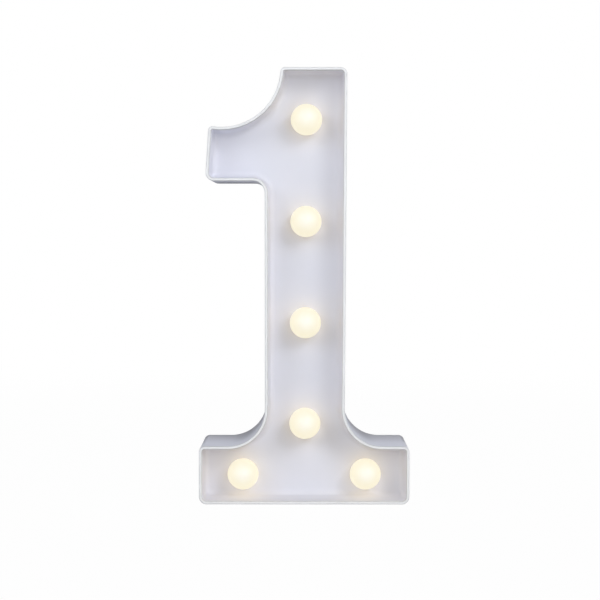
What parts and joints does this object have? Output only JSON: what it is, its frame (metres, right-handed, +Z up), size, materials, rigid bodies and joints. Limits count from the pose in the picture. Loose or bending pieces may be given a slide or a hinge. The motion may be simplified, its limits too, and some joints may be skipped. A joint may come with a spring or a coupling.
{
  "type": "light up marquee number",
  "caption": "Free-standing white plastic numeral one with an open tray front, frosted warm globes in the tray, and a screwed back cover with battery door and slide switch.",
  "frame": {"origin": "centre of the object's box at the base's underside", "axes": "+Z up, the open lit front faces -Y, +X to the right as seen from the front"},
  "size_m": [0.1064, 0.045, 0.22],
  "materials": {
    "shell": "satin white moulding with a fine texture",
    "cover": "matt white moulding",
    "globe": "frosted, lit warm white",
    "diode": "clear warm resin",
    "collar": "natural plastic",
    "cell": "plain printed sleeve",
    "contact": "nickel plated",
    "switch": "black",
    "screw": "zinc plated",
    "red_wire": "red insulation",
    "black_wire": "black insulation",
    "resistor": "tan coating with colour bands"
  },
  "bodies": {
    "lamp": {"front_shell": "shell", "back_cover": "cover", "globe_1": "globe", "globe_2": "globe", "globe_3": "globe", "globe_4": "globe", "globe_5": "globe", "globe_6": "globe", "led_1": "diode", "led_2": "diode", "led_3": "diode", "led_4": "diode", "led_5": "diode", "led_6": "diode", "globe_collar_1": "collar", "globe_collar_2": "collar", "globe_collar_3": "collar", "globe_collar_4": "collar", "globe_collar_5": "collar", "globe_collar_6": "collar", "battery_left": "cell", "battery_right": "cell", "bridge_contact": "contact", "negative_contact": "contact", "positive_contact": "contact", "switch_housing": "switch", "resistor": "resistor", "base_wire_positive": "red_wire", "base_wire_negative": "black_wire", "stem_wire_positive": "red_wire", "stem_wire_negative": "black_wire", "battery_wire_positive": "red_wire", "battery_wire_negative": "black_wire", "cover_screw_1": "screw", "cover_screw_2": "screw", "cover_screw_3": "screw", "cover_screw_4": "screw", "cover_screw_5": "screw", "cover_screw_6": "screw"},
    "door": {"battery_door": "cover"},
    "knob": {"switch_knob": "switch"}
  },
  "joints": [
    {"name": "battery_door_hinge", "type": "hinge", "parent": "lamp", "child": "door", "pos_m": [0.0003, 0.0209, 0.1134], "axis": [1, 0, 0], "range_deg": [0, 110]},
    {"name": "switch_slide", "type": "slide", "parent": "lamp", "child": "knob", "axis": [1, 0, 0], "range_m": [-0.004, 0]}
  ]
}
